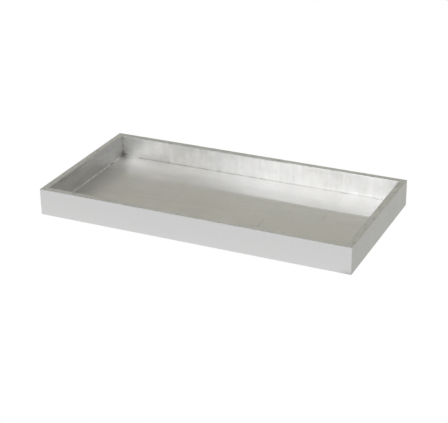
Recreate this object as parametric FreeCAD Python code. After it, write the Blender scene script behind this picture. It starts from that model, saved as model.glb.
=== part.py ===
"""Rectangular silver-leafed display tray.

Frame: millimetres, +Z up. The origin is on the resting plane, under the centre of the tray.
+X runs along the long side to the right end, +Y towards the back.

Build: four mitred side rails carry a groove in which the base panel is captured. Each mitre
is keyed by a hidden loose spline and pinned by two brads. Gesso, leaf and clear lacquer make
one thin skin over the outside, the rim and the inside of each rail and over the floor. The
skin is cut along the mitres, as the leaf is laid face by face. Four felt pads sit under the
base panel.
"""

import FreeCAD
import Part
import os

Vector = FreeCAD.Vector

# ---- finished sizes of the tray ----
INCH = 25.4
LENGTH = 24 * INCH  # outside
WIDTH = 12 * INCH  # outside
RAIL_HEIGHT = 2 * INCH
WALL = INCH / 2  # finished thickness of a side
FLOOR_HEIGHT = 8.4  # finished floor above the underside of the sides
SKIN = 0.25  # gesso, leaf and lacquer
EDGE_R = 0.8  # eased arrises of the finished tray
COVE_R = 1.5  # build-up of gesso where the floor meets the sides

# ---- feet ----
PAD_R = 11.0
PAD_T = 3.0
PAD_INSET = 46.0  # pad centre from the outside faces

# ---- base panel ----
PANEL_T = 6.0
GROOVE_DEPTH = 5.0
PANEL_PLAY = 0.3  # each side, in the depth of the groove

# ---- corner joints ----
SPLINE_T = 3.0  # slot width
SPLINE_LEN = 9.0  # slot length, across the mitre
SPLINE_OFFSET = 7.2  # slot centre from the outside corner of the wood, along X and along Y
SPLINE_FROM = 14.0  # height where the slot starts
SPLINE_TO = 42.0
SPLINE_GLUE = 0.05  # glue line around the spline
BRAD_R = 0.6
BRAD_LEN = 25.0  # head and tip included
BRAD_TIP_R = 0.15
BRAD_TIP_LEN = 1.2
BRAD_HEAD_R = 1.0
BRAD_HEAD_T = 0.5
BRAD_HEIGHTS = (11.6, 46.2)

# ---- heights over the resting plane ----
PANEL_BOTTOM = PAD_T
PANEL_TOP = PANEL_BOTTOM + PANEL_T
FLOOR_Z = PANEL_TOP + SKIN
RAIL_Z0 = FLOOR_Z - FLOOR_HEIGHT  # underside of the sides
RAIL_Z1 = RAIL_Z0 + RAIL_HEIGHT  # finished rim
WOOD_Z1 = RAIL_Z1 - SKIN

# ---- plan sizes ----
INSIDE_L = LENGTH - 2 * WALL  # finished opening
INSIDE_W = WIDTH - 2 * WALL
CORE_L = LENGTH - 2 * SKIN  # outside of the bare wood
CORE_W = WIDTH - 2 * SKIN
CORE_WALL = WALL - 2 * SKIN
OPEN_L = CORE_L - 2 * CORE_WALL  # opening between the bare sides
OPEN_W = CORE_W - 2 * CORE_WALL
CORE_R = EDGE_R - SKIN
SKIN_SPLIT = WALL + COVE_R  # where a side's skin ends and the floor's begins

# ---- overruns of the cutting shapes ----
CUT_Z0 = RAIL_Z0 - 1.0
CUT_Z1 = RAIL_Z1 + 1.0
WEDGE_OUT = 5.0  # past the outside faces
WEDGE_IN = 20.0  # past the inside of a wall, when cutting the wood
FLOOR_CUT_IN = 2.0  # into each bare side, when clearing below the floor

# Direction from the centre to each corner, as signs of X and Y.
CORNERS = {
    "front_left": (-1, -1),
    "front_right": (1, -1),
    "back_left": (-1, 1),
    "back_right": (1, 1),
}
# The two corners a side runs between, anticlockwise in plan.
SIDES = {
    "front": ("front_left", "front_right"),
    "back": ("back_right", "back_left"),
    "left": ("back_left", "front_left"),
    "right": ("front_right", "back_right"),
}


# ---- helpers ----
def near(a, b):
    return abs(a - b) < 1e-3


def centred_box(length, width, z0, z1):
    return Part.makeBox(length, width, z1 - z0, Vector(-length / 2, -width / 2, z0))


def on_outline(edge, length, width):
    """True if the edge's middle lies on a face line of a centred rectangle."""
    middle = edge.CenterOfMass
    return near(abs(middle.x), length / 2) or near(abs(middle.y), width / 2)


def is_level(edge, z):
    return near(edge.Vertexes[0].Z, z) and near(edge.Vertexes[-1].Z, z)


def is_outside_corner(edge, length, width):
    start, end = edge.Vertexes[0].Point, edge.Vertexes[-1].Point
    middle = edge.CenterOfMass
    upright = near(start.x, end.x) and near(start.y, end.y)
    return upright and near(abs(middle.x), length / 2) and near(abs(middle.y), width / 2)


def round_level(shape, length, width, z, radius):
    """Fillets the edges at height z along a centred rectangle."""
    edges = [e for e in shape.Edges if is_level(e, z) and on_outline(e, length, width)]
    return shape.makeFillet(radius, edges)


def round_outside(shape, length, width, top, radius):
    """Rounds the upright outside corners and the outside edge of the rim together."""
    edges = [
        e
        for e in shape.Edges
        if is_outside_corner(e, length, width)
        or (is_level(e, top) and on_outline(e, length, width))
    ]
    return shape.makeFillet(radius, edges)


def wedge(side, inset):
    """Region of one side, between its 45 degree mitre planes, up to inset from the outside."""

    def plan_point(corner, distance):
        sx, sy = CORNERS[corner]
        return Vector(sx * (LENGTH / 2 - distance), sy * (WIDTH / 2 - distance), CUT_Z0)

    start, end = SIDES[side]
    points = [
        plan_point(start, -WEDGE_OUT),
        plan_point(end, -WEDGE_OUT),
        plan_point(end, inset),
        plan_point(start, inset),
    ]
    face = Part.Face(Part.makePolygon(points + [points[0]]))
    return face.extrude(Vector(0, 0, CUT_Z1 - CUT_Z0))


def tidy(shape):
    """Merges split faces and unwraps a single solid."""
    solids = shape.removeSplitter().Solids
    return solids[0] if len(solids) == 1 else Part.makeCompound(solids)


def save(name, shape):
    if not shape.isValid() or not shape.Solids:
        raise RuntimeError(name + " isn't a valid solid shape")
    shape.exportStep("parts/" + name + ".step")


# ---- wood ----
def make_wood_ring():
    """The four bare sides as one frame, before grooving."""
    ring = centred_box(CORE_L, CORE_W, RAIL_Z0, WOOD_Z1)
    ring = ring.cut(centred_box(OPEN_L, OPEN_W, CUT_Z0, CUT_Z1))
    ring = round_outside(ring, CORE_L, CORE_W, WOOD_Z1, CORE_R)
    return round_level(ring, OPEN_L, OPEN_W, WOOD_Z1, CORE_R)


def panel_box(reach):
    """Box as thick as the panel that reaches this far into each bare side."""
    return centred_box(OPEN_L + 2 * reach, OPEN_W + 2 * reach, PANEL_BOTTOM, PANEL_TOP)


def make_rail(side, grooved_ring, joint_cutters):
    rail = grooved_ring.common(wedge(side, WALL + WEDGE_IN))
    for cutter in joint_cutters:
        rail = rail.cut(cutter)
    return tidy(rail)


# ---- corner joints ----
def make_spline(sx, sy, gap=0.0):
    """Upright bar across a mitre, smaller than its slot by gap on every face."""
    length = SPLINE_LEN - 2 * gap
    thick = SPLINE_T - 2 * gap
    bar = centred_box(length, thick, SPLINE_FROM + gap, SPLINE_TO - gap)
    bar.rotate(Vector(0, 0, 0), Vector(0, 0, 1), -45.0 * sx * sy)
    bar.translate(Vector(sx * (CORE_L / 2 - SPLINE_OFFSET), sy * (CORE_W / 2 - SPLINE_OFFSET), 0))
    return bar


def make_brad(sx, sy, z):
    """Round brad driven inwards along X, its head flush with the end of the bare wood."""
    inwards = Vector(-sx, 0, 0)
    head_at = Vector(sx * CORE_L / 2, sy * (CORE_W / 2 - CORE_WALL / 2), z)
    shank_len = BRAD_LEN - BRAD_TIP_LEN
    shank = Part.makeCylinder(BRAD_R, shank_len, head_at, inwards)
    tip_at = head_at + inwards * shank_len
    tip = Part.makeCone(BRAD_R, BRAD_TIP_R, BRAD_TIP_LEN, tip_at, inwards)
    head = Part.makeCylinder(BRAD_HEAD_R, BRAD_HEAD_T, head_at, inwards)
    return shank.fuse([tip, head]).removeSplitter()


# ---- leafed skin ----
def make_skin(wood_ring):
    """The finished tray less the wood, still in one piece."""
    tray = centred_box(LENGTH, WIDTH, RAIL_Z0, RAIL_Z1)
    tray = tray.cut(centred_box(INSIDE_L, INSIDE_W, FLOOR_Z, CUT_Z1))
    tray = round_level(tray, INSIDE_L, INSIDE_W, FLOOR_Z, COVE_R)
    tray = round_outside(tray, LENGTH, WIDTH, RAIL_Z1, EDGE_R)
    tray = round_level(tray, INSIDE_L, INSIDE_W, RAIL_Z1, EDGE_R)
    below_floor = centred_box(
        OPEN_L + 2 * FLOOR_CUT_IN, OPEN_W + 2 * FLOOR_CUT_IN, CUT_Z0, PANEL_TOP
    )
    return tray.cut(wood_ring).cut(below_floor)


def make_floor_skin(skin):
    length, width = LENGTH - 2 * SKIN_SPLIT, WIDTH - 2 * SKIN_SPLIT
    return tidy(skin.common(centred_box(length, width, CUT_Z0, CUT_Z1)))


# ---- feet ----
def make_pad(sx, sy):
    centre = Vector(sx * (LENGTH / 2 - PAD_INSET), sy * (WIDTH / 2 - PAD_INSET), 0)
    return Part.makeCylinder(PAD_R, PAD_T, centre)


# ---- build and write ----
os.makedirs("parts", exist_ok=True)

wood_ring = make_wood_ring()
grooved_ring = wood_ring.cut(panel_box(GROOVE_DEPTH))
slots = [make_spline(sx, sy) for sx, sy in CORNERS.values()]
brads = [make_brad(sx, sy, z) for sx, sy in CORNERS.values() for z in BRAD_HEIGHTS]
skin = make_skin(wood_ring)

for side in SIDES:
    save(side + "_rail", make_rail(side, grooved_ring, slots + brads))
    save(side + "_leaf_skin", tidy(skin.common(wedge(side, SKIN_SPLIT))))
save("floor_leaf_skin", make_floor_skin(skin))
save("base_panel", panel_box(GROOVE_DEPTH - PANEL_PLAY))
save("corner_brads", Part.makeCompound(brads))
for corner, (sx, sy) in CORNERS.items():
    save(corner + "_spline", make_spline(sx, sy, SPLINE_GLUE))
    save(corner + "_felt_pad", make_pad(sx, sy))
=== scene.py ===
# A rectangular tray covered in silver leaf under clear lacquer, standing on the ground at z = 0.
# Its length runs along X (left is -X) and its width along Y (front is -Y), centred on the origin.
# Each side and the floor carries a thin skin of leaf over fibreboard. The sides meet on mitres
# with plywood splines, and a felt pad sits under each corner.
# Meshes are worked out in mm. Nodes, lights and the camera are in metres unless noted.
import math
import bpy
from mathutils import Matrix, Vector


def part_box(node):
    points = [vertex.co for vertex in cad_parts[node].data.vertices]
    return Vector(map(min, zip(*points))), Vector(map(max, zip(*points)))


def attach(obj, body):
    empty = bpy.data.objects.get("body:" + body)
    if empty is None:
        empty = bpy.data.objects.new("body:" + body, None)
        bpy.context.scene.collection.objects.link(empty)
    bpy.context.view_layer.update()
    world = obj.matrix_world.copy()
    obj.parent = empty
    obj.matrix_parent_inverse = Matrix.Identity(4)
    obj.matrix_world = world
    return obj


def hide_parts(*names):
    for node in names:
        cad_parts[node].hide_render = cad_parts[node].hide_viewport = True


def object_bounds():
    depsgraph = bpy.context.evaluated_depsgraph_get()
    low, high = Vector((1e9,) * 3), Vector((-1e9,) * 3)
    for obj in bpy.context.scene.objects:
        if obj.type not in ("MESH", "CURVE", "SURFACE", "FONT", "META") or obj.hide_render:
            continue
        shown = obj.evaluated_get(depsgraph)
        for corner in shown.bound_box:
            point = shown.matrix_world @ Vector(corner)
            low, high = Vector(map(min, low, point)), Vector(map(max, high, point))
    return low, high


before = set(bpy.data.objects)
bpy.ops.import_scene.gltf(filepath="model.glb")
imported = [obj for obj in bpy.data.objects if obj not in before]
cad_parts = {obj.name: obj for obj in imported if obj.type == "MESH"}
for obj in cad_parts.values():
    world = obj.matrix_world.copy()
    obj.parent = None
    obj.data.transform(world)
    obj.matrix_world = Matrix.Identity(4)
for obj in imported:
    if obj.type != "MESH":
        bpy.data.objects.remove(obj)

from types import SimpleNamespace

import bmesh
import bpy
import numpy as np
from mathutils import Matrix

MM = 0.001  # one millimetre in metres


def in_mm(corners):
    return tuple(np.array(corner) / MM for corner in corners)


# ---------------------------------------------------------------- sizes in mm, from the CAD pieces
cad_lo, cad_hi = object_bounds()
box_lo, box_hi = in_mm((cad_lo, cad_hi))
floor_lo, floor_hi = in_mm(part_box("floor_leaf_skin"))
LENGTH, WIDTH = box_hi[0] - box_lo[0], box_hi[1] - box_lo[1]
TOP = box_hi[2]
SIDE_Z0 = in_mm(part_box("front_leaf_skin"))[0][2]  # underside of the sides
FLOOR_Z = floor_hi[2]  # finished floor
PANEL_TOP = floor_lo[2]
SKIN = FLOOR_Z - PANEL_TOP  # thickness of the skin
SPLIT = LENGTH / 2 - floor_hi[0]  # inset of the seam between a side's skin and the floor's
COVE = 1.5  # radius between a side and the floor
WALL = SPLIT - COVE  # finished thickness of a side
EDGE = 0.8  # radius of the eased arrises
LEAF_T = 0.030  # height of a lap, with the size and the lacquer that bridge it
LAP_WIDTH = (7.5, 10.5)

# where each floor sheet's edge starts, in mm along X and Y
FLOOR_X = [-196.0, -98.5, -1.0, 92.0, 190.0]
FLOOR_Y = [-48.0, 46.5]
FLOOR_STREAKS = (0.0042, 60.0, 7.0)

# Per side:
# laps        where sheets start on the outside face, the rim and the inside face, in mm from the
#             side's middle; a side runs anticlockwise seen from above
# streaks     brushing on the inside face: depth, cell along, cell across, in mm
# reach       how far the darkening spreads from the upright corners, as a factor
# depth       how dark that darkening is at least
# cloudy      clouding of the leaf
# mottle_out  share of the mottling on the outside face
# arris_out   wear of the outer arris
# cove        dullness and darkening of the cove
SIDES = {
    "front": dict(
        laps=(
            [-214.0, -117.5, -19.0, 79.0, 177.5, 276.0],
            [-205.0, -101.0, 3.0, 107.0, 211.0],
            [-197.5, -99.0, -3.0, 95.5, 193.0],
        ),
        streaks=(0.0022, 7.5, 70.0),
        reach=2.0, depth=0.14, cloudy=0.042, mottle_out=0.0, arris_out=1.0, cove=0.6,
    ),
    "back": dict(
        laps=(
            [-222.0, -124.0, -26.0, 71.5, 169.0, 267.0],
            [-188.0, -84.0, 20.0, 124.0, 228.0],
            [-190.5, -94.0, 2.5, 97.0, 195.5],
        ),
        streaks=(0.0034, 7.5, 70.0),
        reach=2.6, depth=0.22, cloudy=0.078, mottle_out=0.55, arris_out=1.0, cove=0.45,
    ),
    "left": dict(
        laps=([-84.0, 12.0, 109.0], [-38.0, 66.0], [-49.5, 45.0]),
        streaks=(0.0036, 38.0, 5.5),
        reach=1.4, depth=0.14, cloudy=0.062, mottle_out=0.55, arris_out=1.0, cove=0.2,
    ),
    "right": dict(
        laps=([-91.0, 6.5, 104.0], [-60.0, 44.0], [-46.0, 49.0]),
        streaks=(0.0036, 38.0, 5.5),
        reach=1.4, depth=0.14, cloudy=0.042, mottle_out=0.55, arris_out=0.35, cove=0.6,
    ),
}


# ---------------------------------------------------------------- windows and smooth noise
def rise(t, lo, hi):
    """0 below lo, 1 above hi, smooth between."""
    t = np.clip((t - lo) / (hi - lo), 0.0, 1.0)
    return t * t * (3 - 2 * t)


def fall(t, lo, hi):
    return 1 - rise(t, lo, hi)


def hump(t, centre, width):
    return np.exp(-(((t - centre) / width) ** 2))


def windowed(terms, **places):
    """Sum of terms, each an amount times its windows (axis, shape, and the shape's two values)."""
    total = 0.0
    for amount, *windows in terms:
        for axis, shape, a, b in windows:
            amount = amount * shape(places[axis], a, b)
        total = total + amount
    return total


def noise2(u, v, cell, seed):
    """Smooth noise from -1 to 1 on a seeded lattice, with cells of the given size along u and v."""
    grid = np.random.default_rng(seed).uniform(-1.0, 1.0, (128, 128))
    x, y = u / cell[0] + 31.7, v / cell[1] + 17.3
    i, j = np.floor(x).astype(int), np.floor(y).astype(int)
    a, b = x - i, y - j
    a, b = a * a * a * (a * (a * 6 - 15) + 10), b * b * b * (b * (b * 6 - 15) + 10)
    g00, g10 = grid[i % 128, j % 128], grid[(i + 1) % 128, j % 128]
    g01, g11 = grid[i % 128, (j + 1) % 128], grid[(i + 1) % 128, (j + 1) % 128]
    return (g00 * (1 - a) + g10 * a) * (1 - b) + (g01 * (1 - a) + g11 * a) * b


def noise1(t, cell, seed):
    return noise2(t, t * 0.0, cell=(cell, 1.0), seed=seed)


# ---------------------------------------------------------------- leaf laid in sheets over one face
def ragged(t, seed):
    """How far a torn leaf edge wanders, in mm, along its length t."""
    return (
        0.75 * noise1(t, cell=26.0, seed=seed)
        + 0.28 * noise1(t, cell=7.0, seed=seed + 1)
        + 0.14 * noise1(t, cell=1.9, seed=seed + 2)
    )


def torn_lap(distance, width, along, seed):
    """One lap, by distance past the upper sheet's edge. Returns where the new sheet lies, the
    height, the lines of both edges and the doubled band."""
    upper = distance - ragged(along, seed)
    lower = distance - width - 0.8 * ragged(along, seed + 3)
    height = LEAF_T * (rise(upper, -0.3, 0.3) - rise(lower, -1.2, 1.2))
    line = hump(upper, 0.0, 0.45) + 0.35 * hump(lower, 0.0, 1.1)
    band = rise(upper, -0.2, 0.3) * fall(lower, -1.0, 1.0)
    return upper > 0, height, line, band


def sheets(u, v, laps_u, laps_v, seed, lively, streaks):
    """Height in mm, and the marks, of a face covered in leaf. u and v are mm on the face. Each
    sheet starting at an entry of laps_u or laps_v covers the end of the sheet before it."""
    rng = np.random.default_rng(seed)
    counts = len(laps_u) + 1, len(laps_v) + 1
    tone, warm, rough = (rng.normal(0, 1, counts) for _ in range(3))
    rng.normal(0, 1, (*counts, 2))  # not used, but the draws that follow depend on it
    col, row = np.zeros(u.shape, int), np.zeros(u.shape, int)
    laps = []
    for index, edge in enumerate(laps_v):
        width = rng.uniform(*LAP_WIDTH)
        covered, *lap = torn_lap(v - edge, width, u, seed + 10 * index + 3)
        row[covered] = index + 1
        laps.append(lap)
    for index, edge in enumerate(laps_u):
        width = rng.uniform(*LAP_WIDTH)
        # the edge of each row's sheet starts at its own place
        shift = rng.uniform(-1.8, 1.8, counts[1])[row]
        covered, *lap = torn_lap(u - edge - shift, width, v + 400.0, seed + 10 * index + 103)
        col[covered] = index + 1
        laps.append(lap)
    heights, lines, bands = zip(*laps)
    height = sum(heights)
    # rubbed-down gesso is never quite flat, and the leaf itself creases a little
    height += 0.030 * noise2(u, v, cell=(85.0, 85.0), seed=seed + 501)
    height += 0.010 * noise2(u, v, cell=(31.0, 31.0), seed=seed + 502)
    height += lively * 0.0085 * noise2(u, v, cell=(12.0, 15.0), seed=seed + 503)
    height += lively * 0.0026 * noise2(u, v, cell=(5.5, 6.5), seed=seed + 504)
    depth, cell_u, cell_v = streaks
    rub = noise2(u, v, cell=(cell_u, cell_v), seed=seed + 505)
    rub = rub + 0.55 * noise2(u, v, cell=(cell_u * 0.45, cell_v * 0.6), seed=seed + 506)
    height += depth * rub
    cloudy = 0.6 * noise2(u, v, cell=(17.0, 14.0), seed=seed + 507)
    cloudy = cloudy + 0.5 * noise2(u, v, cell=(6.5, 6.0), seed=seed + 508)
    return height, dict(
        tone=tone[col, row],
        warm=warm[col, row],
        rough=rough[col, row],
        line=np.clip(sum(lines), 0, 1),
        band=np.maximum.reduce(bands),
        rub=rub,
        cloudy=cloudy,
    )


# ---------------------------------------------------------------- mesh helpers
def spaced(lo, hi, coarse, fine, near, reach):
    """Stations from lo to hi, coarse apart, but fine apart within reach of each value in near."""
    stations, x = [lo], lo
    near = np.array(near)
    while x < hi - 1e-6:
        gap = np.abs(x - near).min()
        stride = fine
        if gap >= reach:
            stride = min(coarse, max(fine, (gap - reach) * 0.5 + fine))
        x = min(hi, x + stride)
        if hi - x < 0.5 * stride:
            x = hi
        stations.append(x)
    return np.array(stations)


def run_lengths(points):
    """Distance along a polyline to each of its points."""
    return np.concatenate([[0], np.cumsum(np.linalg.norm(np.diff(points, axis=0), axis=1))])


def make_object(name, verts_mm, faces, attributes):
    """A closed, smooth-shaded mesh object with float attributes on its points."""
    mesh = bpy.data.meshes.new(name)
    mesh.from_pydata([tuple(p) for p in np.asarray(verts_mm) * MM], [], faces)
    for key, values in attributes.items():
        attribute = mesh.attributes.new(key, "FLOAT", "POINT")
        attribute.data.foreach_set("value", np.asarray(values, np.float32))
    bm = bmesh.new()
    bm.from_mesh(mesh)
    bmesh.ops.remove_doubles(bm, verts=bm.verts, dist=2e-6)
    bmesh.ops.dissolve_degenerate(bm, dist=1e-6, edges=bm.edges)
    bmesh.ops.recalc_face_normals(bm, faces=bm.faces)
    open_edges = sum(1 for e in bm.edges if len(e.link_faces) != 2)
    if bm.calc_volume() < 0:
        bmesh.ops.reverse_faces(bm, faces=bm.faces)
    bm.to_mesh(mesh)
    bm.free()
    if open_edges:
        raise RuntimeError("%s has %d open edges" % (name, open_edges))
    mesh.polygons.foreach_set("use_smooth", [True] * len(mesh.polygons))
    mesh.set_sharp_from_angle(angle=math.radians(38.0))
    obj = bpy.data.objects.new(name, mesh)
    bpy.context.scene.collection.objects.link(obj)
    return obj


# ---------------------------------------------------------------- section of a side's skin
# zones of the section, from the foot of the outside face to the seam with the floor
OUTER, OUTER_ARRIS, RIM, INNER_ARRIS, INNER, COVED = range(6)


def arc(inset, z, radius, start, end, segments):
    """Points of an arc, angles in degrees, without its first point."""
    angles = np.radians(np.linspace(start, end, segments + 1))[1:]
    return [(inset + radius * math.cos(a), z + radius * math.sin(a)) for a in angles]


def joined(parts):
    """The points of all zones, and each point's zone."""
    points = np.array([point for part in parts for point in part])
    return points, np.repeat(np.arange(len(parts)), [len(part) for part in parts])


def seen_section():
    """(inset, height) of what is seen."""
    z0, ease_z = SIDE_Z0, TOP - EDGE
    face = spaced(z0 + 0.3, ease_z, coarse=1.9, fine=0.6, near=[z0, TOP], reach=1.6)
    rim = spaced(EDGE, WALL - EDGE, coarse=1.4, fine=0.5, near=[0, WALL], reach=1.0)
    # the inside face runs down, so its stations are negative heights
    drop = spaced(
        -ease_z, -(FLOOR_Z + COVE), coarse=1.7, fine=0.5, near=[-TOP, -FLOOR_Z], reach=2.4
    )
    return joined([
        [(0.12, z0), (0.03, z0 + 0.09)] + [(0.0, z) for z in face],
        arc(EDGE, ease_z, EDGE, 180, 90, 6),
        [(inset, TOP) for inset in rim[1:]],
        arc(WALL - EDGE, ease_z, EDGE, 90, 0, 6),
        [(WALL, -z) for z in drop[1:]],
        arc(WALL + COVE, FLOOR_Z + COVE, COVE, 180, 270, 7),
    ])


def hidden_section():
    """(inset, height) of what touches the wood."""
    ease_z = TOP - EDGE
    return joined([
        [(SKIN, SIDE_Z0), (SKIN, ease_z)],
        arc(EDGE, ease_z, EDGE - SKIN, 180, 90, 3),
        [(WALL - EDGE, TOP - SKIN)],
        arc(WALL - EDGE, ease_z, EDGE - SKIN, 90, 0, 3),
        [(WALL - SKIN, PANEL_TOP)],
        [(SPLIT, PANEL_TOP)],
    ])


SEEN, ZONE = seen_section()
HIDDEN, HIDDEN_ZONE = hidden_section()
CHAIN = np.vstack([SEEN, HIDDEN])
GIRTH = run_lengths(SEEN)
# the closed loop round the section, as places in CHAIN
LOOP = list(range(len(SEEN))) + list(range(len(CHAIN) - 1, len(SEEN) - 1, -1))


# ---------------------------------------------------------------- one side swept between its mitres
END_STRAIGHT, END_ROUND = 7, 5  # stations up to the rounded outside corner, and round it
END = END_STRAIGHT + END_ROUND


def end_place(inset, k, hidden):
    """Distance from the outside corner along the side, and inset, of a section point in the k-th
    station of the end zone. The outside corner is rounded as the arris is, and everything
    further in meets its neighbour on the mitre."""
    if inset <= EDGE + 1e-9:
        if k <= END_STRAIGHT:
            return SPLIT + (EDGE - SPLIT) * k / END_STRAIGHT, inset
        angle = math.radians(45.0 * (k - END_STRAIGHT) / END_ROUND)
        radius = EDGE - inset
        return EDGE - radius * math.sin(angle), EDGE - radius * math.cos(angle)
    mitred = SPLIT + (inset - SPLIT) * k / END
    if hidden:
        return mitred, inset
    # the rim's outer edge keeps the pace of the rounded corner
    blend = min(1.0, (inset - EDGE) / 4.0)
    paced = SPLIT + (EDGE - SPLIT) * min(k, END_STRAIGHT) / END_STRAIGHT
    paced = SPLIT + (paced - SPLIT) * (SPLIT - inset) / (SPLIT - EDGE)
    return paced + (mitred - paced) * blend, inset


def side_points(half, laps):
    """Points (along, inset, height) by station and place in CHAIN."""
    reach = half - SPLIT
    middle = spaced(-reach, reach, coarse=2.3, fine=0.5, near=sum(laps, []), reach=2.2)
    last = END + len(middle) - 1
    points = np.zeros((len(middle) + 2 * END, len(CHAIN), 3))
    points[END : last + 1, :, 0] = middle[:, None]
    points[:, :, 1:] = CHAIN
    for j, inset in enumerate(CHAIN[:, 0]):
        for k in range(1, END + 1):
            from_corner, end_inset = end_place(inset, k, j >= len(SEEN))
            points[last + k, j, :2] = half - from_corner, end_inset
            points[END - k, j, :2] = from_corner - half, end_inset
    return points


def on_tray(side, points):
    """Turn (along, inset, height) of a side into x, y, z on the tray."""
    along, inset, height = np.moveaxis(points, -1, 0)
    x, y = {
        "front": (along, inset - WIDTH / 2),
        "back": (-along, WIDTH / 2 - inset),
        "right": (LENGTH / 2 - inset, along),
        "left": (inset - LENGTH / 2, -along),
    }[side]
    return np.stack([x, y, height], -1)


def outward(surface):
    """Unit normals of a grid of points."""
    normal = np.cross(np.gradient(surface, axis=0), np.gradient(surface, axis=1))
    return normal / np.maximum(np.linalg.norm(normal, axis=2, keepdims=True), 1e-9)


def cover_side(side, along, girth, seed):
    """Leaf on the outside face, the rim and the inside face: height and marks."""
    high = SEEN[:, 1] >= TOP - 0.25
    arris = (ZONE == OUTER_ARRIS) | (ZONE == INNER_ARRIS)
    # points covered, seed offset, liveliness, streaks
    groups = (
        ((ZONE == OUTER) | ((ZONE == OUTER_ARRIS) & ~high), 11, 0.25, (0.0004, 9.0, 60.0)),
        ((ZONE == RIM) | (arris & high), 23, 0.8, (0.0010, 30.0, 5.0)),
        ((ZONE >= INNER) | ((ZONE == INNER_ARRIS) & ~high), 37, 1.0, SIDES[side]["streaks"]),
    )
    height, marks = np.zeros(along.shape), {}
    for (pick, offset, lively, streaks), laps in zip(groups, SIDES[side]["laps"]):
        columns = np.where(pick)[0]
        height[:, columns], found = sheets(
            along[:, columns], girth[:, columns], laps, [], seed + offset, lively, streaks
        )
        for key, values in found.items():
            marks.setdefault(key, np.zeros(along.shape))[:, columns] = values
    return height, marks


def relief_fade(surface, girth, to_mitre):
    """Takes the relief to nothing at the mitres, the foot, the floor seam and the arrises."""
    fade = (
        rise(to_mitre, 0.0, 3.0)
        * rise(surface[:, :, 2], SIDE_Z0, SIDE_Z0 + 2.0)
        * rise(GIRTH[-1] - girth, 0.0, 3.0)
    )
    for zone in (OUTER_ARRIS, INNER_ARRIS):
        columns = np.where(ZONE == zone)[0]
        centre = (GIRTH[columns[0]] + GIRTH[columns[-1]]) / 2
        fade *= rise(np.abs(girth - centre), 0.6, 3.0)
    return fade


# ---------------------------------------------------------------- darkening, wear, and painted sheen and shade by place
# Painted sheen and shade, partly also uneven rubbing of the leaf: brightening (+) or darkening (-) of
# its colour that stands in for how it catches the light, as terms for windowed(). x and y are mm on
# the tray, and z is mm above the floor.
INSIDE_PAINTED_LIGHT_AND_RUB = {
    "front": (),
    "back": (
        (0.03,),
        (-0.02, ("x", rise, -195.0, -160.0)),
        (0.105, ("x", rise, -110.0, -30.0)),
        (-0.085, ("x", rise, 30.0, 170.0)),
        (-0.05, ("x", rise, 238.0, 285.0), ("z", rise, 6.0, 16.0)),
        # painted glow near the back-left corner
        (0.19, ("x", fall, -272.0, -240.0)),
        (-0.06, ("x", hump, -215.0, 30.0), ("z", fall, 8.0, 26.0)),
        (0.19, ("x", hump, -214.0, 30.0), ("z", rise, 8.0, 40.0)),
        (0.05, ("z", rise, 14.0, 40.0), ("x", fall, -190.0, -110.0)),
        (0.03, ("x", hump, 40.0, 60.0), ("z", rise, 20.0, 40.0)),
        (0.08, ("x", hump, -236.0, 20.0), ("z", rise, 5.0, 15.0)),
        (0.09, ("x", rise, 20.0, 130.0), ("z", rise, 35.0, 41.0)),
        (0.085, ("x", rise, 60.0, 160.0), ("z", fall, 4.0, 13.0)),
        (0.13, ("x", hump, -247.0, 17.0), ("z", rise, 6.0, 13.0)),
        (0.035, ("x", hump, -205.0, 30.0), ("z", rise, 9.0, 16.0)),
        (0.07, ("x", hump, -123.0, 9.0), ("z", rise, 10.0, 16.0)),
        (-0.08, ("x", hump, -205.0, 60.0), ("z", fall, 3.0, 9.0)),
        (-0.06, ("x", hump, -160.0, 16.0), ("z", fall, 12.0, 22.0)),
        (0.05, ("x", hump, 28.0, 40.0), ("z", rise, 20.0, 27.0)),
        (0.09, ("x", hump, 236.0, 9.0)),
        (-0.06, ("x", hump, 260.0, 9.0), ("z", fall, 22.0, 32.0)),
        (-0.05, ("x", rise, 264.0, 280.0)),
        (-0.06, ("x", rise, 264.0, 280.0), ("z", rise, 30.0, 38.0)),
    ),
    "left": (
        (-0.03,),
        (-0.03, ("y", rise, -60.0, 60.0)),
        (-0.045, ("z", fall, 6.0, 24.0), ("y", rise, -90.0, -20.0)),
        (-0.05, ("y", fall, -95.0, -60.0), ("z", rise, 16.0, 34.0)),
        (-0.13, ("y", fall, -60.0, 0.0), ("z", rise, 29.0, 38.0)),
    ),
    "right": (),
}
# the same painted sheen and shade, partly uneven rubbing, for the rims and then the floor
RIM_PAINTED_LIGHT_AND_RUB = {
    "front": ((0.04, ("x", fall, -20.0, 40.0)), (-0.08, ("x", rise, 225.0, 255.0))),
    "back": (
        (0.06, ("x", hump, -110.0, 60.0)),
        (-0.045, ("x", rise, 115.0, 150.0)),
        (-0.07, ("x", rise, 250.0, 280.0)),
    ),
    "left": (),
    "right": ((-0.08,), (-0.06, ("y", rise, 70.0, 130.0)), (-0.09, ("y", hump, -42.0, 16.0))),
}
FLOOR_PAINTED_LIGHT_AND_RUB = (
    (0.085, ("x", fall, -130.0, -10.0), ("x", rise, -288.0, -235.0)),
    (-0.045, ("x", rise, 30.0, 110.0)),
    # painted glow in the back-left corner of the floor
    (0.30, ("x", hump, -274.0, 22.0), ("y", hump, 108.0, 32.0)),
    (-0.045, ("y", rise, 60.0, 84.0), ("y", fall, 96.0, 120.0),
     ("x", fall, -120.0, -60.0), ("x", rise, -262.0, -225.0)),
    (0.06, ("x", fall, -280.0, -250.0), ("y", rise, 60.0, 110.0)),
    # painted shade where the floor's reflection of the back side ends
    (-0.035, ("y", hump, 56.0, 14.0), ("x", rise, 20.0, 80.0)),
    (0.05, ("y", hump, 126.0, 20.0), ("x", rise, -150.0, -60.0), ("x", fall, 60.0, 130.0)),
    (-0.08, ("x", hump, -207.0, 28.0), ("y", hump, 90.0, 36.0)),
    (-0.05, ("y", hump, 84.0, 10.0), ("x", rise, 10.0, 60.0), ("x", fall, 190.0, 215.0)),
)


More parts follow.
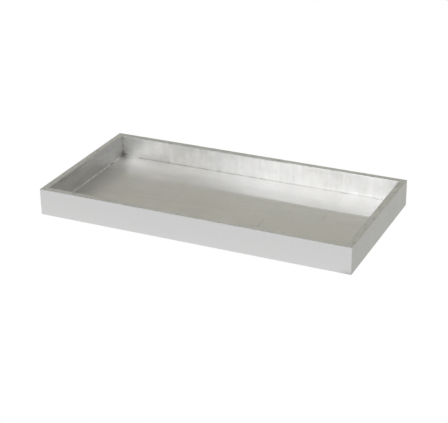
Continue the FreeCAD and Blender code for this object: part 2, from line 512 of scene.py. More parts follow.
def joint_darkness(side, x, y):
    """How much the joint between the floor and a side is darkened, by place: the back one is dark and
    broken up to the right, the left one only lightly darkened."""
    along = x if side in ("front", "back") else y
    noise = noise1(along, cell=7.0, seed=61) * 0.5 + noise1(along, cell=2.1, seed=62) * 0.5
    if side == "back":
        amount = 0.30 + 0.10 * fall(x, -195.0, -160.0) - 0.06 * rise(x, -60.0, 40.0)
        amount = amount * rise(x, -272.0, -250.0)
        gaps = rise(x, 60.0, 170.0) * rise(noise, 0.05, 0.30)
        broken = 0.32 * hump(x, 186.0, 9.0)
        return np.clip(amount + 0.26 * noise - 0.22 * gaps + broken, 0, 1)
    if side == "left":
        marks = 0.85 * hump(y, 91.0, 6.5) + 0.26 * rise(y, 112.0, 132.0)
        return np.clip(0.85 * (noise - 0.12) + marks * (0.8 + 0.6 * noise), 0, 1)
    return np.clip(0.30 + 0.45 * noise, 0, 1)


def side_darkness(side, at, seed):
    """Darkening in the upright inner corners, broadest at the foot, and along the floor joint, and
    flecks on the rim where the leaf has worn through to the size."""
    wander = 1.0 + 0.55 * noise1(at.up, cell=5.5, seed=seed + 801)
    wander = wander + 0.35 * noise2(at.up, at.corner, cell=(2.2, 3.0), seed=seed + 802)
    reach = (1.7 + 2.2 * fall(at.up, 8.0, 30.0)) * wander * SIDES[side]["reach"]
    depth = SIDES[side]["depth"] + 0.42 * fall(at.up, 1.0, 20.0)
    depth = depth + 0.26 * noise2(at.up, at.corner, cell=(5.0, 3.0), seed=seed + 806)
    corner = hump(at.corner, 0.0, np.maximum(reach, 0.4)) * np.clip(depth, 0.05, 0.8)
    smudge = noise2(at.corner, at.up, cell=(5.0, 8.0), seed=seed + 803)
    smear = 0.16 * np.exp(-at.corner / 6.0) * np.clip(0.2 + smudge, 0, 1)
    foot_width = np.maximum(0.9 + 0.5 * noise1(at.along, cell=9.0, seed=seed + 804), 0.35)
    foot = joint_darkness(side, at.x, at.y) * hump(np.maximum(at.up - 0.5, 0), 0.0, foot_width)
    if side == "back":
        foot *= 1 - 0.55 * rise(at.x, 40.0, 140.0) * (1 - hump(at.x, 186.0, 10.0))
    drops = noise2(at.along, at.up, cell=(2.3, 1.6), seed=seed + 805)
    spatter = np.clip(drops - 0.62, 0, 1) * 1.3 * np.exp(-at.up / 4.5)
    fleck = noise2(at.along, at.girth, cell=(3.4, 2.4), seed=seed + 811)
    fleck = fleck + 0.5 * noise2(at.along, at.girth, cell=(9.0, 3.0), seed=seed + 812)
    dirt = np.clip(np.maximum(corner, foot) + smear + spatter, 0, 1) * at.inside
    return dirt + np.clip(1.3 * (fleck - 0.52), 0, 0.34) * (ZONE == RIM)


def side_arris(side, at):
    """Wear along the two arrises of the rim."""
    outer, inner = (
        hump(at.girth, GIRTH[np.where(ZONE == zone)[0][3]], 1.0)
        for zone in (OUTER_ARRIS, INNER_ARRIS)
    )
    if side == "back":
        inner = inner * (1 - 0.8 * rise(at.x, 20.0, 130.0))
    return np.maximum(outer * SIDES[side]["arris_out"], inner)


def side_mottle_and_painted_light(side, at, cove, marks):
    """How much brighter the leaf is than the average, by place: its mottling, with painted sheen and
    shade, and a painted highlight along the left joint.
    """
    look = SIDES[side]
    strong = 1.0 + 0.5 * rise(at.x, -60.0, 160.0) if side == "back" else 1.0
    mottle = 0.048 * strong * marks["rub"] + look["cloudy"] * marks["cloudy"]
    places = dict(x=at.x, y=at.y, z=at.up)
    gain = (windowed(INSIDE_PAINTED_LIGHT_AND_RUB[side], **places) + mottle) * at.inside
    gain += mottle * (at.inset < 0.4) * look["mottle_out"]
    gain += (1.1 * mottle + windowed(RIM_PAINTED_LIGHT_AND_RUB[side], **places)) * (ZONE == RIM)
    if side == "left":  # a painted highlight along its joint with the floor
        patchy = 0.75 + 0.5 * noise1(at.y, cell=6.0, seed=63)
        gain += 0.45 * cove * patchy * rise(at.corner, 1.0, 6.0)
    return gain


def painted_back_glint(x):
    """Broken glints painted low on the back side, towards the right."""
    noise = noise1(x, cell=5.0, seed=64) + 0.4 * noise1(x, cell=1.7, seed=65)
    glint = rise(noise, 0.0, 0.35) * rise(x, 70.0, 190.0) * (1 - hump(x, 183.0, 11.0))
    return glint + 0.8 * hump(x, 243.0, 22.0) + 0.4 * hump(x, 204.0, 7.0)


def side_attributes(side, at, to_mitre, marks, seed):
    """Everything the leaf's material reads, for the seen points of a side."""
    cove = rise(at.girth, GIRTH[-1] - 3.6, GIRTH[-1] - 1.6)
    values = {key: marks[key] for key in ("tone", "warm", "rough", "line", "band")}
    values["dirt"] = side_darkness(side, at, seed)
    values["arris"] = side_arris(side, at)
    values["seam"] = hump(to_mitre, 0.0, 0.5)
    values["cove"] = cove * SIDES[side]["cove"]
    values["gain"] = side_mottle_and_painted_light(side, at, cove, marks)
    if side == "back":
        glint = painted_back_glint(at.x)
        values["cove"] = cove * (SIDES[side]["cove"] + 0.05 * rise(at.x, 60.0, 160.0))
        values["cove"] *= 1.0 - 0.25 * glint
        # painted highlight: a bright band just above the joint, with painted glints towards the right
        low = 0.05 * rise(at.x, -25.0, 30.0) + (0.02 + 0.13 * glint) * rise(at.x, 50.0, 150.0)
        values["gain"] += low * hump(at.up, 3.3, 1.4) * at.inside
        # this side takes less of the lacquer's yellow
        values["warm"] = values["warm"] - 2.6 * at.inside - 3.2 * (ZONE == RIM)
    return values


# ---------------------------------------------------------------- skins
def cap_triangles():
    """Triangles, as places in CHAIN, that join the seen and hidden chains zone by zone."""
    triangles = []
    for zone in range(6):
        seen = list(np.where(ZONE == zone)[0])
        hidden = list(len(SEEN) + np.where(HIDDEN_ZONE == zone)[0])
        if zone:
            seen.insert(0, np.where(ZONE == zone - 1)[0][-1])
            hidden.insert(0, len(SEEN) + np.where(HIDDEN_ZONE == zone - 1)[0][-1])
        seen_run = GIRTH[seen] - GIRTH[seen[0]]
        seen_run = seen_run / max(seen_run[-1], 1e-9)
        hidden_run = run_lengths(CHAIN[hidden])
        hidden_run = hidden_run / max(hidden_run[-1], 1e-9)
        a = b = 0
        while a < len(seen) - 1 or b < len(hidden) - 1:
            seen_next = b == len(hidden) - 1 or (
                a < len(seen) - 1 and seen_run[a + 1] <= hidden_run[b + 1]
            )
            if seen_next:
                triangles.append((seen[a], seen[a + 1], hidden[b]))
                a += 1
            else:
                triangles.append((seen[a], hidden[b + 1], hidden[b]))
                b += 1
    return triangles


def side_faces(stations):
    size = len(LOOP)
    faces = []
    for i in range(stations - 1):
        near, far = i * size, (i + 1) * size
        for a in range(size):
            b = (a + 1) % size
            faces.append((near + a, near + b, far + b, far + a))
    place_in_loop = {j: a for a, j in enumerate(LOOP)}
    triangles = cap_triangles()
    for i in (0, stations - 1):
        for triangle in triangles:
            faces.append(tuple(i * size + place_in_loop[int(j)] for j in triangle))
    return faces


def side_skin(side, seed):
    half = (LENGTH if side in ("front", "back") else WIDTH) / 2
    points = side_points(half, SIDES[side]["laps"])
    # surface and along are views of points, so both move when the relief is added
    surface = points[:, : len(SEEN)]
    along = surface[:, :, 0]
    girth = np.broadcast_to(GIRTH, along.shape)
    to_mitre = (half - np.abs(along) - surface[:, :, 1]) / math.sqrt(2)
    height, marks = cover_side(side, along, girth, seed)
    relief = height * relief_fade(surface, girth, to_mitre)
    surface += outward(surface) * relief[:, :, None]
    placed = on_tray(side, surface)
    inset = surface[:, :, 1]
    at = SimpleNamespace(
        along=along,
        girth=girth,
        inset=inset,
        x=placed[:, :, 0],
        y=placed[:, :, 1],
        up=surface[:, :, 2] - FLOOR_Z,
        corner=np.maximum(half - np.abs(along) - WALL, 0.0),  # distance to the inner corner
        inside=rise(inset, WALL - 0.3, WALL - 0.05) * (ZONE >= INNER_ARRIS),
    )
    values = side_attributes(side, at, to_mitre, marks, seed)
    unseen = np.zeros((len(points), len(HIDDEN)))
    flat = {
        key: np.concatenate([value, unseen], axis=1)[:, LOOP].ravel()
        for key, value in values.items()
    }
    verts = on_tray(side, points[:, LOOP].reshape(-1, 3))
    return make_object(side + "_leaf", verts, side_faces(len(points)), flat)


def floor_darkness(x, y, from_side_x, from_side_y):
    """Darkening in the four corners and along the joints, and two marks left along laps."""
    blob = 1.0 + 0.45 * noise2(x, y, cell=(3.5, 3.5), seed=7201)
    dirt = 0.74 * np.exp(-(from_side_x**2 + from_side_y**2) / (5.6 * blob) ** 2)
    joints = (
        ("back", from_side_y, y > 0),
        ("front", from_side_y, y < 0),
        ("left", from_side_x, x < 0),
        ("right", from_side_x, x > 0),
    )
    for side, distance, half in joints:
        along = x if side in ("front", "back") else y
        width = np.maximum(0.9 + 0.5 * noise1(along, cell=9.0, seed=7202), 0.35)
        strength = joint_darkness(side, x, y)
        if side == "back":
            width = width + 0.5 * rise(x, 20.0, 120.0)
            strength = strength * (1 - 0.25 * rise(x, 70.0, 160.0))
        band = hump(np.maximum(distance - 0.9, 0), 0.0, width)
        dirt = np.maximum(dirt, half * strength * band)
        drops = noise2(x, y, cell=(2.4, 2.4), seed=7203)
        dirt += half * np.clip(drops - 0.60, 0, 1) * 1.2 * np.exp(-distance / 5.0)
    streak = hump(x - FLOOR_X[4] - 1.2 * noise1(y, cell=14.0, seed=7204), 0.0, 1.1)
    streak = streak * rise(y, -12.0, 2.0) * fall(y, 30.0, 48.0)
    dirt += 0.30 * streak * (0.7 + 0.6 * noise2(y, x, cell=(5.0, 3.0), seed=7205))
    mark = hump(x - 92.5 - noise1(y, cell=12.0, seed=7206), 0.0, 1.3)
    mark = mark * rise(y, -64.0, -50.0) * fall(y, -30.0, -8.0)
    mark += 1.3 * hump(x, 93.5, 2.6) * hump(y, -56.0, 4.2)
    dirt += 0.26 * mark * (0.75 + 0.6 * noise2(x, y, cell=(3.0, 4.0), seed=7207))
    return np.clip(dirt, 0, 1)


def floor_skin():
    half_x, half_y = LENGTH / 2 - SPLIT, WIDTH / 2 - SPLIT
    xs = spaced(-half_x, half_x, coarse=2.3, fine=0.55, near=FLOOR_X, reach=2.4)
    ys = spaced(-half_y, half_y, coarse=2.1, fine=0.55, near=FLOOR_Y, reach=2.0)
    x, y = np.meshgrid(xs, ys, indexing="ij")
    height, marks = sheets(x, y, FLOOR_X, FLOOR_Y, 7100, lively=1.0, streaks=FLOOR_STREAKS)
    to_edge = np.minimum(half_x - np.abs(x), half_y - np.abs(y))
    z = FLOOR_Z + height * rise(to_edge, 0.0, 3.5)
    top = np.stack([x, y, z], 2).reshape(-1, 3)
    index = np.arange(x.size).reshape(x.shape).tolist()
    faces = [
        (a[j], b[j], b[j + 1], a[j + 1])
        for a, b in zip(index, index[1:])
        for j in range(len(ys) - 1)
    ]
    # the rim of the grid goes down to the panel, and a fan closes the underside
    ring = [row[0] for row in index] + index[-1][1:]
    ring += [row[-1] for row in index[-2::-1]] + index[0][-2:0:-1]
    low = top[ring].copy()
    low[:, 2] = PANEL_TOP
    verts = np.vstack([top, low, [[0.0, 0.0, PANEL_TOP]]])
    base, count = x.size, len(ring)
    for a in range(count):
        b = (a + 1) % count
        faces.append((ring[a], ring[b], base + b, base + a))
        faces.append((base + a, base + b, base + count))
    from_side_x, from_side_y = half_x + COVE - np.abs(x), half_y + COVE - np.abs(y)
    values = {key: marks[key] for key in ("tone", "warm", "rough", "line", "band")}
    values["dirt"] = floor_darkness(x, y, from_side_x, from_side_y)
    values["arris"] = values["seam"] = np.zeros(x.shape)
    values["cove"] = 0.3 * fall(from_side_y, COVE, COVE + 1.0)
    mottle = 0.021 * marks["rub"] + 0.030 * marks["cloudy"]
    values["gain"] = windowed(FLOOR_PAINTED_LIGHT_AND_RUB, x=x, y=y) + mottle
    unseen = np.zeros(count + 1)
    flat = {key: np.concatenate([value.ravel(), unseen]) for key, value in values.items()}
    return make_object("floor_leaf", verts, faces, flat)


skins = {side: side_skin(side, seed=1000 * (n + 1)) for n, side in enumerate(SIDES)}
skins["floor"] = floor_skin()


# ---------------------------------------------------------------- shader graph helper
class Graph:
    """Short ways to add shader nodes. A value is a number, a tuple or another node's socket."""

    def __init__(self, owner):
        owner.use_nodes = True
        self.tree = owner.node_tree
        self.tree.nodes.clear()

    def add(self, kind, inputs=None, **settings):
        """A node with its settings, and its inputs by name or index."""
        node = self.tree.nodes.new("ShaderNode" + kind)
        for key, value in settings.items():
            setattr(node, key, value)
        for key, value in (inputs or {}).items():
            if isinstance(value, bpy.types.NodeSocket):
                self.tree.links.new(value, node.inputs[key])
            else:
                node.inputs[key].default_value = value
        return node

    def math(self, operation, *values, clamp=False):
        inputs = dict(enumerate(values))
        return self.add("Math", inputs, operation=operation, use_clamp=clamp).outputs[0]

    def vector(self, operation, a, b):
        return self.add("VectorMath", {0: a, 1: b}, operation=operation).outputs[0]

    def gather(self, total, *terms, operation="ADD"):
        """Add to total, or subtract from it, each signal times its weight."""
        for signal, weight in terms:
            total = self.math(operation, total, self.math("MULTIPLY", signal, weight))
        return total

    def ramp(self, value, span, to=(0.0, 1.0), kind="SMOOTHSTEP"):
        """Map value from span to the range to, clamped."""
        inputs = dict(enumerate((value, *span, *to)))
        return self.add("MapRange", inputs, interpolation_type=kind, clamp=True).outputs[0]

    def mix(self, factor, a, b):
        return self.add("Mix", {0: factor, 6: a, 7: b}, data_type="RGBA").outputs[2]

    def mix_value(self, factor, a, b):
        return self.add("Mix", {0: factor, 2: a, 3: b}, data_type="FLOAT").outputs[0]

    def combine(self, x, y, z):
        return self.add("CombineXYZ", {0: x, 1: y, 2: z}).outputs[0]

    def separate(self, vector):
        return self.add("SeparateXYZ", {0: vector}).outputs

    def place(self):
        """Position on the object in metres."""
        return self.add("TexCoord").outputs["Object"]

    def noise(self, place, scale, detail=3.0, rough=0.55, distortion=0.0, output="Fac"):
        inputs = {"Vector": place, "Scale": scale, "Detail": detail}
        inputs.update({"Roughness": rough, "Distortion": distortion})
        return self.add("TexNoise", inputs).outputs[output]

    def bump(self, height, strength, distance, **more):
        inputs = dict(Height=height, Strength=strength, Distance=distance, **more)
        return self.add("Bump", inputs).outputs[0]

    def surface(self, kind, inputs, target="Material"):
        """The shader that reaches the output."""
        shader = self.add(kind, inputs)
        self.add("Output" + target, {"Surface": shader.outputs[0]})


def material(name):
    made = bpy.data.materials.new(name)
    return made, Graph(made)


# ---------------------------------------------------------------- silver leaf under clear lacquer
def leaf_signals(graph):
    """What varies over the leaf: the mesh's attributes and procedural textures."""
    names = ("tone", "warm", "rough", "line", "band", "arris", "seam", "cove", "dirt", "gain")
    at = SimpleNamespace(**{
        name: graph.add("Attribute", attribute_name=name).outputs["Fac"] for name in names
    })
    place = graph.place()
    at.x, at.y, at.z = graph.separate(place)

    def centred(where, **settings):
        return graph.math("SUBTRACT", graph.noise(where, **settings), 0.5)

    at.cloud = centred(place, scale=26.0, detail=4.0)  # soft mottling, about 40 mm
    at.fleck = centred(place, scale=170.0, detail=5.0, rough=0.62)  # uneven leaf, about 6 mm
    lengthwise = graph.vector("MULTIPLY", place, (0.22, 1.0, 0.22))
    at.brush = centred(lengthwise, scale=330.0, rough=0.6)  # rubbed streaks
    at.fine = graph.noise(place, scale=900.0, rough=0.6)
    # creases: thin ridges between irregular cells, present only in patches
    jitter = graph.noise(place, scale=45.0, rough=0.5, output="Color")
    warped = graph.vector("ADD", place, graph.vector("MULTIPLY", jitter, (0.016,) * 3))
    cells = graph.add(
        "TexVoronoi", {"Vector": warped, "Scale": 42.0}, feature="DISTANCE_TO_EDGE"
    )
    ridge = graph.ramp(cells.outputs["Distance"], span=(0.0, 0.045), to=(1.0, 0.0))
    patch = graph.ramp(graph.noise(place, scale=17.0, detail=2.0), span=(0.52, 0.66))
    at.crease = graph.math("MULTIPLY", ridge, patch)
    # tarnish spots where the leaf broke
    broken = graph.noise(place, scale=420.0, detail=2.0, rough=0.5)
    at.spot = graph.ramp(broken, span=(0.735, 0.80))
    # 1 away from the outside faces, which are quieter than the inside
    away = [
        graph.ramp(
            graph.math("ABSOLUTE", position),
            span=(size / 2 * MM - 0.003, size / 2 * MM - 0.001),
            to=(1.0, 0.0),
        )
        for position, size in ((at.x, LENGTH), (at.y, WIDTH))
    ]
    at.inside = graph.math("MULTIPLY", *away)
    at.loud = graph.math("MULTIPLY_ADD", at.inside, 0.75, 0.25)
    worn = graph.math("ADD", at.arris, graph.math("MULTIPLY", at.fleck, 1.2))
    at.rub = graph.ramp(worn, span=(0.25, 0.85))
    at.dull = graph.math("MAXIMUM", graph.math("MAXIMUM", at.rub, at.cove), at.dirt)
    return at


def leaf_colour(graph, at):
    base = 0.585  # reflectance of the leaf
    # weights of what lightens and darkens it
    value = graph.math("MULTIPLY", at.tone, 0.006)
    lighter = (at.cloud, 0.05), (at.fleck, 0.10), (at.brush, 0.05), (at.band, 0.008)
    darker = (at.line, 0.035), (at.crease, 0.03), (at.spot, 0.15)
    value = graph.gather(value, *lighter)
    value = graph.gather(value, *darker, operation="SUBTRACT")
    value = graph.math("MULTIPLY_ADD", value, at.loud, 1.0)
    # painted sheen and shade, with the leaf's mottling, scale the colour
    value = graph.math("MULTIPLY", value, graph.math("ADD", at.gain, 1.0))
    # share of the light lost to wear, the mitre seams, the cove and the darkening
    for signal, change in ((at.rub, -0.12), (at.seam, -0.05), (at.cove, -0.22), (at.dirt, -0.78)):
        value = graph.math("MULTIPLY", value, graph.math("MULTIPLY_ADD", signal, change, 1.0))
    metal = graph.add(
        "VectorMath", {0: (base, base * 1.002, base * 0.998), "Scale": value}, operation="SCALE"
    )
    # the lacquer is a little yellower on the floor
    low = graph.ramp(at.z, span=((FLOOR_Z + 0.5) * MM, (FLOOR_Z + 3.0) * MM), to=(1.0, 0.0))
    low = graph.math("MULTIPLY", low, at.inside)
    # weights of what warms the colour
    warmth = graph.math("MULTIPLY_ADD", at.warm, 0.003, graph.math("MULTIPLY", at.cloud, 0.03))
    warmth = graph.math("MULTIPLY", warmth, at.loud)
    warmth = graph.math("MULTIPLY_ADD", low, 0.027, warmth)
    warmth = graph.math("MULTIPLY_ADD", at.dirt, 0.03, warmth)
    tint = graph.combine(
        graph.math("ADD", 1.0, warmth),
        graph.math("MULTIPLY_ADD", warmth, 0.35, 1.0),
        graph.math("SUBTRACT", 1.0, warmth),
    )
    return graph.vector("MULTIPLY", metal.outputs[0], tint)


def leaf_roughness(graph, at):
    base = 0.43
    rough = graph.math("MULTIPLY_ADD", at.rough, 0.012, base)
    ridges = graph.math("ADD", at.line, at.crease)
    weights = (at.cloud, 0.10), (at.fleck, 0.08), (at.brush, 0.06), (ridges, 0.04)
    rough = graph.gather(rough, *weights)
    rough = graph.math("MULTIPLY_ADD", at.dull, 0.22, rough)
    return graph.math("ADD", rough, graph.math("MULTIPLY", at.spot, 0.15), clamp=True)


def leaf_coat(graph, at):
    """Lacquer: thin and rubbed at the left, full at the right, gone from worn arrises, the cove and
    darkened places.
    """
    left, right, outside, overall = 0.22, 1.0, 0.6, 1.0  # weight of the lacquer by place
    across = graph.gather(at.x, (at.cloud, 0.10))
    full = graph.ramp(across, span=(-0.16, 0.10), to=(left, right))
    full = graph.math("MULTIPLY", full, at.inside)
    full = graph.gather(full, (graph.math("SUBTRACT", 1.0, at.inside), outside))
    coat = graph.math("MULTIPLY", full, overall)
    coat = graph.math("MULTIPLY", coat, graph.math("MULTIPLY_ADD", at.fleck, 0.8, 1.0))
    return graph.math("MULTIPLY", coat, graph.math("SUBTRACT", 1.0, at.dull), clamp=True)


def silver_leaf():
    made, graph = material("silver_leaf")
    at = leaf_signals(graph)
    height = graph.math("MULTIPLY", at.crease, 0.35)
    height = graph.gather(height, (at.fleck, 0.35), (at.brush, 0.20), (at.fine, 0.06))
    # a third of a millimetre of rise, which tips what the floor reflects near the back
    tipped = graph.ramp(at.y, span=(0.030, 0.080), to=(0.0, 0.00033))
    sag = graph.bump(tipped, strength=1.0, distance=1.0)
    leaf_normal, coat_normal = (
        graph.bump(
            height, strength=graph.math("MULTIPLY", at.loud, share), distance=0.00004, Normal=sag
        )
        for share in (1.0, 0.22)
    )
    graph.surface("BsdfPrincipled", {
        "Base Color": leaf_colour(graph, at),
        "Metallic": 1.0,
        "Roughness": leaf_roughness(graph, at),
        "Normal": leaf_normal,
        "Coat Weight": leaf_coat(graph, at),
        "Coat IOR": 2.6,
        "Coat Roughness": 0.05,
        "Coat Normal": coat_normal,
    })
    return made


leaf = silver_leaf()
for name, skin in skins.items():
    skin.data.materials.append(leaf)
    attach(skin, "root")
    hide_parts(name + "_leaf_skin")


# ---------------------------------------------------------------- fibreboard, plywood, steel, felt
def fibreboard(name, colour):
    made, graph = material(name)
    place = graph.place()
    along = graph.vector("MULTIPLY", place, (1.0, 3.0, 3.0))
    fibre = graph.noise(along, scale=900.0, detail=5.0, rough=0.7)
    cloud = graph.noise(place, scale=35.0)
    specks = graph.ramp(graph.noise(place, scale=1500.0, detail=2.0), span=(0.62, 0.72))
    light = graph.gather(graph.math("MULTIPLY", fibre, 0.35), (cloud, 0.25))
    dark_end, light_end = (tuple(c * share for c in colour) + (1,) for share in (0.72, 1.25))
    board = graph.mix(light, dark_end, light_end)
    board = graph.mix(graph.math("MULTIPLY", specks, 0.5), board, (0.16, 0.10, 0.06, 1))
    graph.surface("BsdfPrincipled", {
        "Base Color": board,
        "Roughness": graph.math("MULTIPLY_ADD", cloud, 0.15, 0.68),
        "Normal": graph.bump(fibre, strength=0.5, distance=0.00015),
    })
    return made


def plywood():
    made, graph = material("plywood")
    ply_thickness = 0.0009
    place = graph.place()
    x, y, _ = graph.separate(place)
    ply = graph.math("PINGPONG", graph.math("ADD", x, y), ply_thickness)
    ply = graph.ramp(ply, span=(0.0003, 0.0006))
    upright = graph.vector("MULTIPLY", place, (1.0, 1.0, 0.08))
    grain = graph.noise(upright, scale=2200.0, detail=4.0, rough=0.6)
    wood = graph.mix(ply, (0.70, 0.52, 0.33, 1), (0.47, 0.31, 0.18, 1))
    wood = graph.mix(graph.math("MULTIPLY", grain, 0.4), wood, (0.33, 0.21, 0.11, 1))
    graph.surface("BsdfPrincipled", {"Base Color": wood, "Roughness": 0.62})
    return made


def bright_steel():
    made, graph = material("bright_steel")
    along = graph.vector("MULTIPLY", graph.place(), (0.05, 1.0, 1.0))
    drawn = graph.noise(along, scale=4000.0)
    graph.surface("BsdfPrincipled", {
        "Base Color": graph.mix(drawn, (0.50, 0.50, 0.50, 1), (0.66, 0.65, 0.64, 1)),
        "Metallic": 1.0,
        "Roughness": graph.math("MULTIPLY_ADD", drawn, 0.2, 0.25),
    })
    return made


def grey_felt():
    made, graph = material("grey_felt")
    place = graph.place()
    fuzz = graph.noise(place, scale=1600.0, detail=6.0, rough=0.75, distortion=1.2)
    lump = graph.noise(place, scale=220.0)
    wool = graph.mix(fuzz, (0.17, 0.165, 0.155, 1), (0.40, 0.385, 0.36, 1))
    wool = graph.mix(graph.math("MULTIPLY", lump, 0.35), wool, (0.25, 0.24, 0.23, 1))
    graph.surface("BsdfPrincipled", {
        "Base Color": wool,
        "Roughness": 0.95,
        "Sheen Weight": 0.4,
        "Normal": graph.bump(fuzz, strength=0.9, distance=0.0003),
    })
    return made


def dress(node, dressing):
    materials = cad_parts[node].data.materials
    materials.clear()
    materials.append(dressing)


def felt_pad(corner, seed, felt):
    """A pressed disc with a soft rounded edge and an uneven outline."""
    node = corner + "_felt_pad"
    lo, hi = in_mm(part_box(node))
    centre_x, centre_y = (lo[0] + hi[0]) / 2, (lo[1] + hi[1]) / 2
    radius, z0, z1 = (hi[0] - lo[0]) / 2, lo[2], hi[2]
    count = 72
    angles = np.linspace(0, 2 * math.pi, count, endpoint=False)
    # share of the radius, height
    profile = [
        (0.35, z0), (0.62, z0), (0.83, z0), (0.935, z0 + 0.02), (0.975, z0 + 0.22),
        (0.995, z0 + 0.6), (1.0, (z0 + z1) / 2), (0.995, z1 - 0.5), (0.98, z1 - 0.15),
        (0.95, z1), (0.6, z1),
    ]
    rng = np.random.default_rng(seed)
    wobble = sum(
        rng.uniform(-1, 1) * np.cos(k * angles + rng.uniform(0, 6.3)) / k for k in range(2, 14)
    )
    fuzz = rng.uniform(-1, 1, (len(profile), count))
    verts, faces = [], []
    for (share, z), ring_fuzz in zip(profile, fuzz):
        ring, height = np.full(count, radius * share), np.full(count, z)
        if share > 0.9:
            uneven = 0.10 + 0.06 * wobble + 0.05 * ring_fuzz
            ring = np.minimum(ring - uneven, radius - 0.01)
        if z0 + 0.1 < z < z1 - 0.1:
            height += 0.03 * ring_fuzz
        x, y = centre_x + ring * np.cos(angles), centre_y + ring * np.sin(angles)
        verts += list(zip(x, y, height))
    last = (len(profile) - 1) * count
    for a in range(0, last, count):
        for b in range(count):
            c = (b + 1) % count
            faces.append((a + b, a + c, a + count + c, a + count + b))
    verts += [(centre_x, centre_y, z0), (centre_x, centre_y, z1)]
    bottom = last + count
    for b in range(count):
        c = (b + 1) % count
        faces.append((bottom, b, c))
        faces.append((bottom + 1, last + b, last + c))
    pad = make_object(corner + "_felt", verts, faces, {})
    pad.data.materials.append(felt)
    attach(pad, "root")
    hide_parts(node)


core = fibreboard("fibreboard", (0.46, 0.34, 0.22))
panel = fibreboard("fibreboard_panel", (0.50, 0.38, 0.26))
ply_wood, steel, felt_wool = plywood(), bright_steel(), grey_felt()
for side in SIDES:
    dress(side + "_rail", core)
dress("base_panel", panel)
dress("corner_brads", steel)
for n, corner in enumerate(("front_left", "front_right", "back_left", "back_right")):
    dress(corner + "_spline", ply_wood)
    felt_pad(corner, 90 + n, felt_wool)

# ---------------------------------------------------------------- ground and light
scene = bpy.context.scene
scene.view_settings.view_transform = "Standard"
scene.view_settings.look = "None"
scene.view_settings.exposure = 0.0
scene.view_settings.gamma = 1.0
WHITE = (1, 1, 1, 1)


def white_ground():
    """Plain white to the camera. To the leaf's reflections it glows with the levels below: painted
    floor light, with a painted shadow of the tray.
    """
    near, middle, far = 0.995, 0.935, 0.90  # in front of the tray, going away from it
    shade_near, shade_far = 0.615, 0.68  # to the right and the back
    made, graph = material("white_ground")
    x, y, _ = graph.separate(graph.add("NewGeometry").outputs["Position"])
    half_x, half_y = LENGTH * MM / 2, WIDTH * MM / 2
    # in front: painted brightest at the foot of the tray
    ahead = graph.math("SUBTRACT", graph.math("MULTIPLY", y, -1.0), half_y)
    front = graph.ramp(ahead, span=(0.0, 0.11), to=(near, middle), kind="LINEAR")
    fade = graph.ramp(ahead, span=(0.11, 0.6), to=(0.0, far - middle))
    front = graph.math("ADD", front, fade)
    # painted shadow: the tray's own broad shadow, darker to the right and the back
    past_x, past_y = graph.math("SUBTRACT", x, half_x), graph.math("SUBTRACT", y, half_y)
    beyond = graph.math("MAXIMUM", past_x, past_y)
    shade = graph.ramp(beyond, span=(0.10, 0.5), to=(shade_near, shade_far))
    shaded = graph.math(
        "MULTIPLY",
        graph.ramp(beyond, span=(-0.03, -0.005)),
        graph.ramp(y, span=(-half_y - 0.02, -half_y + 0.005)),
    )
    level = graph.mix_value(shaded, front, shade)
    tint = graph.mix(shaded, WHITE, (1.0, 0.993, 0.946, 1))
    to_camera = graph.add("LightPath").outputs["Is Camera Ray"]
    graph.surface("Emission", {
        "Strength": graph.mix_value(to_camera, level, 1.0),
        "Color": graph.mix(to_camera, tint, WHITE),
    })
    return made


def add_ground():
    mesh = bpy.data.meshes.new("ground")
    s = 12.0  # half its width
    mesh.from_pydata([(-s, -s, 0), (s, -s, 0), (s, s, 0), (-s, s, 0)], [], [(0, 1, 2, 3)])
    ground = bpy.data.objects.new("ground", mesh)
    scene.collection.objects.link(ground)
    mesh.materials.append(white_ground())


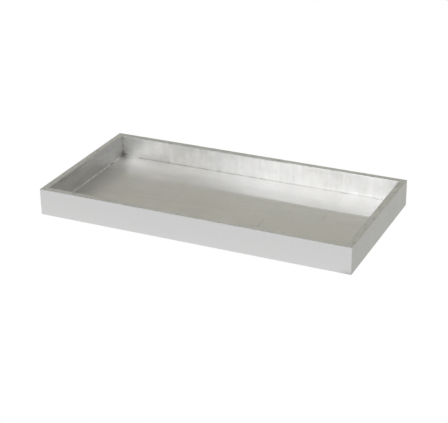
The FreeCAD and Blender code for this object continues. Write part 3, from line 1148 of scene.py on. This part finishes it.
def studio():
    """Light by direction. Spans of bearing and elevation are in degrees."""
    key, key_more = 2.50, 0.40  # big softbox over the front, and its hotter middle
    fill = 0.27  # beyond its left edge
    zenith, zenith_back = 1.30, 0.50
    back, back_high = 0.61, 0.32  # what stands behind the tray, low down and higher up
    scene.world = bpy.data.worlds.new("studio")
    graph = Graph(scene.world)
    direction = graph.add("TexCoord").outputs["Generated"]
    unit = graph.add("VectorMath", {0: direction}, operation="NORMALIZE").outputs[0]
    x, y, z = graph.separate(unit)
    degrees = 180 / math.pi
    leftwards, forwards = (graph.math("MULTIPLY", axis, -1.0) for axis in (x, y))
    bearing = graph.math("ARCTAN2", leftwards, forwards)
    bearing = graph.math("MULTIPLY", bearing, degrees)  # to the left of the front
    elevation = graph.math("MULTIPLY", graph.math("ARCSINE", z), degrees)
    # the softbox's left edge is crisp and leans outwards with height
    edge = graph.math(
        "ADD",
        graph.ramp(elevation, span=(18.0, 52.0), to=(26.0, 50.0), kind="LINEAR"),
        graph.ramp(elevation, span=(52.0, 62.0), to=(0.0, 30.0)),
    )
    past_edge = graph.math("SUBTRACT", bearing, edge)
    box = graph.ramp(past_edge, span=(-4.5, 4.5), to=(1.0, 0.0))
    # it fades away to the right, low down and high up
    fades = (
        (bearing, (-62.0, 18.0), (0.25, 1.0)),
        (elevation, (2.0, 24.0), (0.30, 1.0)),
        (elevation, (52.0, 68.0), (1.0, 0.55)),
    )
    for angle, span, to in fades:
        box = graph.math("MULTIPLY", box, graph.ramp(angle, span=span, to=to))
    hot = graph.math(
        "MULTIPLY",
        graph.ramp(bearing, span=(-8.0, 14.0)),
        graph.ramp(elevation, span=(26.0, 42.0)),
    )
    level = graph.math("MULTIPLY_ADD", hot, key_more, key)
    level = graph.math("MULTIPLY_ADD", box, level, fill)
    front_colour = graph.combine(level, level, level)
    back_colour = graph.mix(
        graph.ramp(elevation, span=(30.0, 46.0)),
        (back, back * 0.985, back * 0.868, 1),
        (back_high, back_high * 0.995, back_high * 0.945, 1),
    )
    colour = graph.mix(graph.ramp(y, span=(0.0, 0.45)), front_colour, back_colour)
    dimming = graph.math(
        "MULTIPLY", graph.ramp(y, span=(-0.15, 0.25)), zenith - zenith_back
    )
    above = graph.math("SUBTRACT", zenith, dimming)
    overhead = graph.ramp(elevation, span=(58.0, 76.0))
    colour = graph.mix(overhead, colour, graph.combine(above, above, above))
    to_camera = graph.add("LightPath").outputs["Is Camera Ray"]
    colour = graph.mix(to_camera, colour, WHITE)
    graph.surface("Background", {"Color": colour}, target="World")


def add_camera():
    azimuth, elevation, roll = (math.radians(a) for a in (25.113, 25.203, -0.827))
    distance, shift_right, shift_up = 3.8883, -0.0014, -0.0065  # in tray lengths
    back = np.array([
        math.sin(azimuth) * math.cos(elevation),
        -math.cos(azimuth) * math.cos(elevation),
        math.sin(elevation),
    ])
    right = np.cross(-back, [0, 0, 1.0])
    right /= np.linalg.norm(right)
    up = np.cross(right, -back)
    place = (back * distance + right * shift_right + up * shift_up) * LENGTH * MM
    place = place + np.array([0, 0, SIDE_Z0 * MM])
    rolled_right = math.cos(roll) * right + math.sin(roll) * up
    rolled_up = -math.sin(roll) * right + math.cos(roll) * up
    data = bpy.data.cameras.new("camera")
    camera = bpy.data.objects.new("camera", data)
    scene.collection.objects.link(camera)
    pose = Matrix.Identity(4)
    for i in range(3):
        pose[i][:] = rolled_right[i], rolled_up[i], back[i], place[i]
    camera.matrix_world = pose
    data.sensor_width = 36.0
    data.lens = 101.860714
    data.clip_start = 0.05
    data.clip_end = 60.0
    scene.camera = camera


add_ground()
studio()
add_camera()
